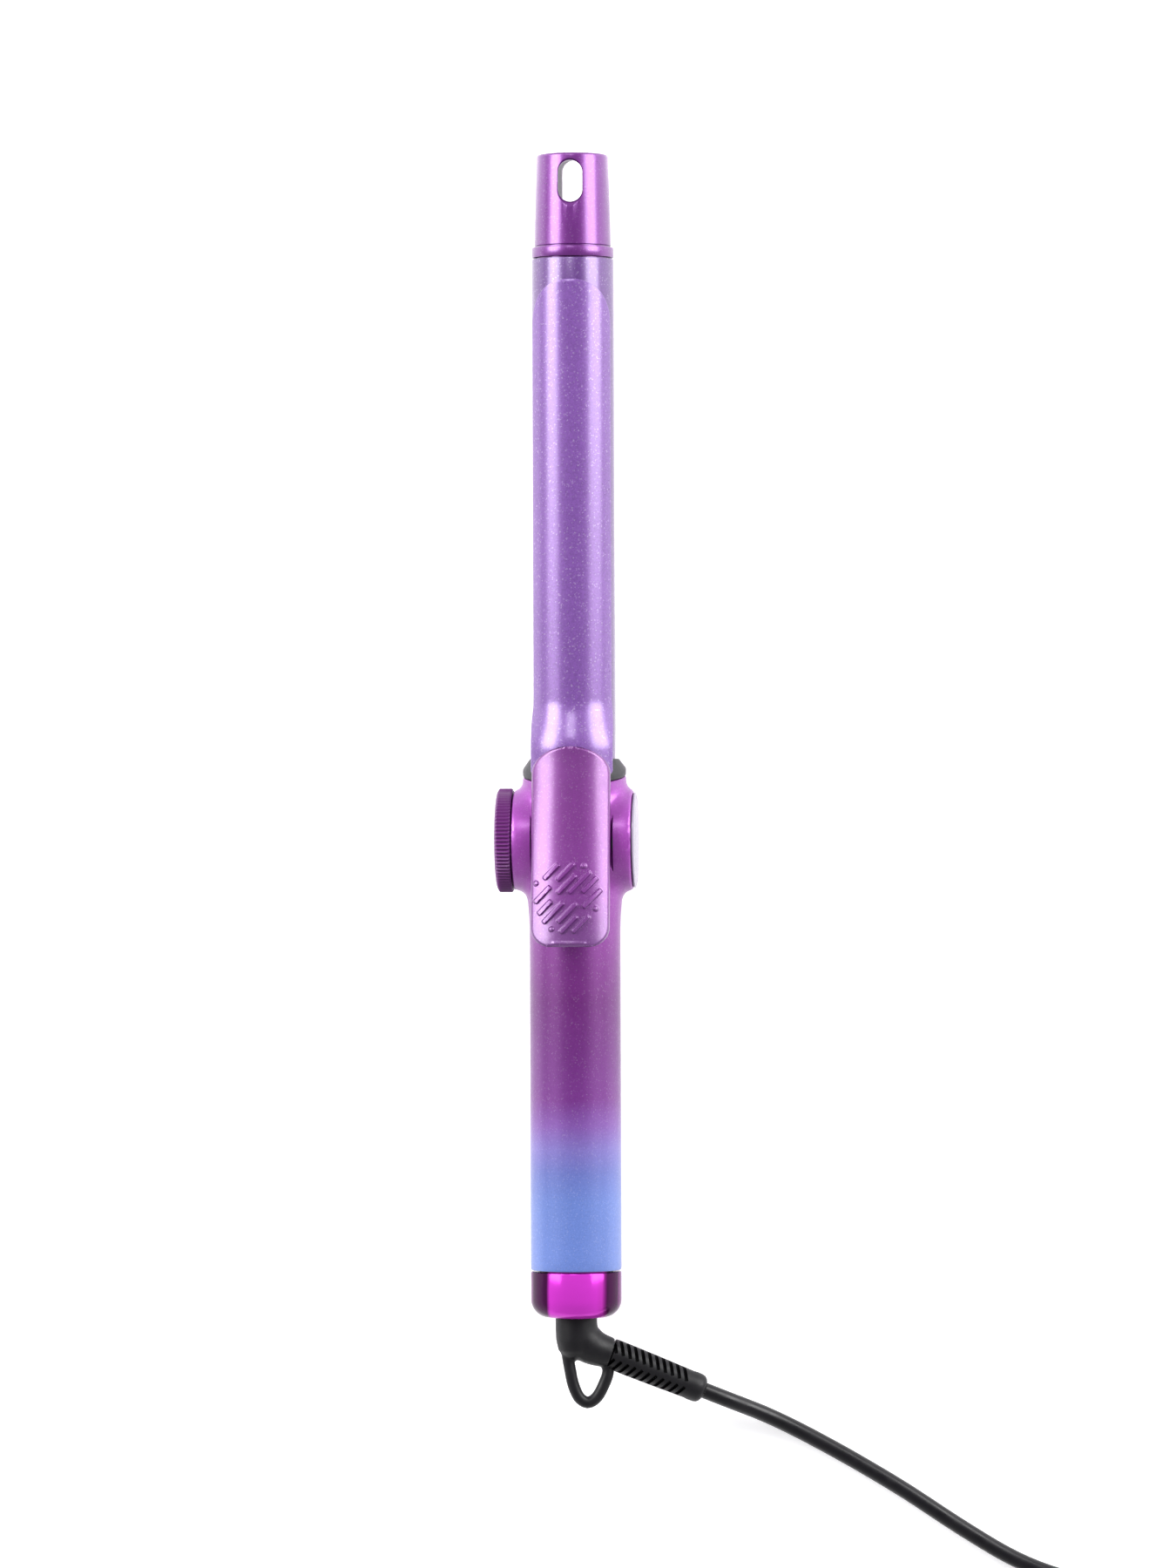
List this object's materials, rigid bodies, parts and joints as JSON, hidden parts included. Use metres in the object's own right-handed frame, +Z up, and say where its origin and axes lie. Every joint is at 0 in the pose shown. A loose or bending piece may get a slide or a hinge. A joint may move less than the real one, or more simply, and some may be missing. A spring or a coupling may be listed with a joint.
{
  "type": "curling iron",
  "caption": "Hair curling iron with a spring clamp on a heated barrel, thumb lever, temperature dial, domed display cover, flip stand and a swivel mains cord that ends in a plug.",
  "frame": {"origin": "middle of the folded stand's flat foot, on the surface that the iron lies on", "axes": "+Y along the barrel towards the cool tip, +Z up from the surface through the thumb lever's side, +X towards the display side of the hub"},
  "size_m": [0.2278, 0.5299, 0.0475],
  "materials": {
    "barrel_coating": "satin pearl",
    "tip_plastic": "satin metallic",
    "lever_plastic": "satin metallic",
    "shell_paint": "graded satin metallic",
    "dial_plastic": "knurled",
    "cap_chrome": "tinted mirror",
    "dark_plastic": "fine grain",
    "soft_black": "soft satin",
    "cord_jacket": "gloss",
    "lens": "milky gloss",
    "steel": "turned",
    "aluminium": "extruded",
    "brass": "turned",
    "ceramic": "fired",
    "circuit_board": "solder mask",
    "component_black": "moulded",
    "capacitor_film": "dipped",
    "wire_red": "satin",
    "wire_blue": "satin"
  },
  "bodies": {
    "iron_body": {"barrel_tube": "barrel_coating", "cool_tip": "tip_plastic", "housing_front": "shell_paint", "housing_rear": "shell_paint", "end_cap": "cap_chrome", "collar": "dark_plastic", "cord_tie": "soft_black", "plug_body": "soft_black", "cord_lead": "cord_jacket", "cord_coil": "cord_jacket", "cord_tail": "cord_jacket", "display_lens": "lens", "pivot_pin": "steel", "stand_pin": "steel", "clamp_spring": "steel", "housing_screw_1": "steel", "housing_screw_2": "steel", "heater_spring_left": "steel", "heater_spring_right": "steel", "thermal_fuse": "steel", "heat_spreader_front": "aluminium", "heat_spreader_rear": "aluminium", "potentiometer": "aluminium", "pot_bushing": "brass", "brush_live": "brass", "brush_neutral": "brass", "plug_pin_1": "brass", "plug_pin_2": "brass", "ptc_heater": "ceramic", "barrel_mount": "ceramic", "thermistor": "ceramic", "contact_holder": "ceramic", "board_fuse": "ceramic", "control_board": "circuit_board", "display_board": "circuit_board", "triac": "component_black", "microcontroller": "component_black", "display_digits": "component_black", "film_capacitor": "capacitor_film", "heater_lead_live": "wire_red", "mains_lead_live": "wire_red", "heater_lead_neutral": "wire_blue", "mains_lead_neutral": "wire_blue"},
    "clamp": {"clamp_plate": "barrel_coating", "thumb_lever": "lever_plastic", "lever_screw_1": "steel", "lever_screw_2": "steel"},
    "dial": {"temp_dial": "dial_plastic", "pot_shaft": "brass"},
    "stand_leg": {"stand": "dark_plastic"},
    "cord_swivel": {"swivel_elbow": "soft_black", "strain_relief": "soft_black", "slip_ring_live": "brass", "slip_ring_neutral": "brass"}
  },
  "joints": [
    {"name": "clamp_hinge", "type": "hinge", "parent": "iron_body", "child": "clamp", "pos_m": [0, -0.035, 0.0285], "axis": [1, 0, 0], "range_deg": [0, 13], "stiffness_Nm_per_rad": 0.12, "springref_deg": -40.11, "deforming": ["clamp_spring"]},
    {"name": "dial_turn", "type": "hinge", "parent": "iron_body", "child": "dial", "pos_m": [-0.0187, -0.046, 0.02], "axis": [1, 0, 0], "range_deg": [0, 270]},
    {"name": "stand_hinge", "type": "hinge", "parent": "iron_body", "child": "stand_leg", "pos_m": [0, -0.037, 0.0073], "axis": [-1, 0, 0], "range_deg": [0, 100]},
    {"name": "cord_swivel_turn", "type": "hinge", "parent": "iron_body", "child": "cord_swivel", "pos_m": [0, -0.2008, 0.02], "axis": [0, -1, 0], "continuous": true}
  ]
}
